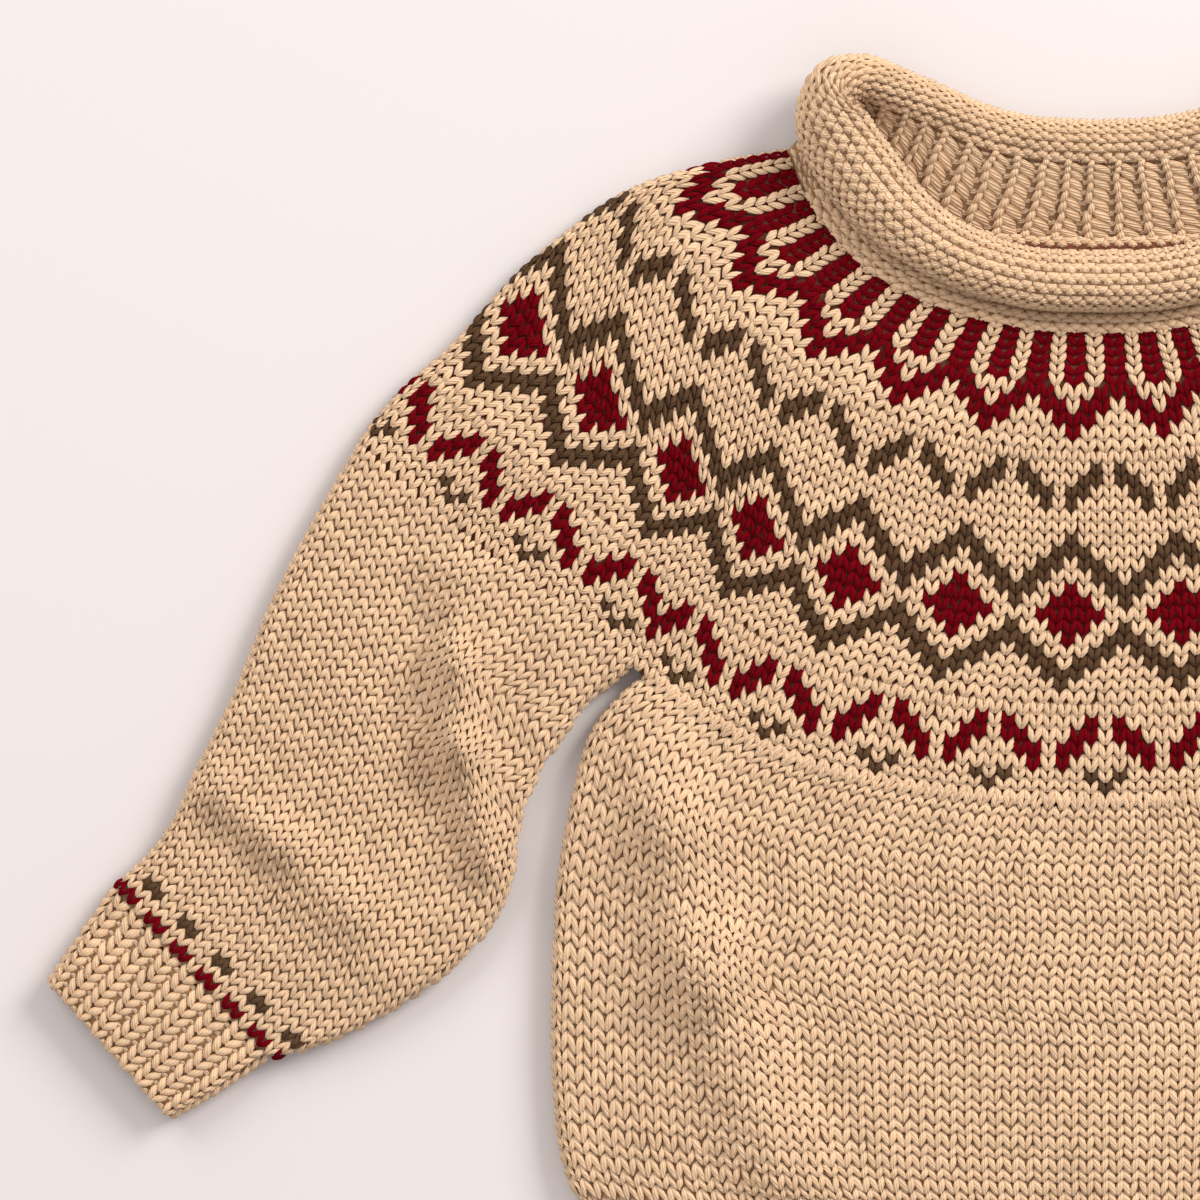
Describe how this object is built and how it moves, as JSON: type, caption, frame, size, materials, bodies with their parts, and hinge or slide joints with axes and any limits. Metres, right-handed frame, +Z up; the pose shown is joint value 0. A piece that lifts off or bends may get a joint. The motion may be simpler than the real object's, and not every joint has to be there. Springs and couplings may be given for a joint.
{
  "type": "stranded round-yoke sweater",
  "caption": "Child's thick cotton sweater laid flat and face up, with a round patterned yoke, ribbed cuffs and hem, and a neck edge that rolls outwards.",
  "frame": {"origin": "middle of the sweater's box, on the surface it lies on", "axes": "+X across the sweater towards the sleeve on the right of a viewer who looks down on its front, +Y from hem to neck, +Z up from the surface, out of the front"},
  "size_m": [0.6331, 0.389, 0.0262],
  "materials": {
    "yoke_knit": "stranded cotton knitting in beige, burgundy and olive brown, matt",
    "plain_knit": "plain cotton knitting in beige, matt",
    "rib_knit": "ribbed cotton knitting in beige, matt",
    "rolled_knit": "rolled cotton knitting in beige, purl side out, matt"
  },
  "bodies": {
    "root": {"yoke": "yoke_knit", "body": "plain_knit", "hem_rib": "rib_knit", "sleeve_left": "plain_knit", "sleeve_right": "plain_knit", "cuff_left": "rib_knit", "cuff_right": "rib_knit", "neck_rib": "rib_knit", "neck_roll": "rolled_knit"}
  },
  "joints": []
}
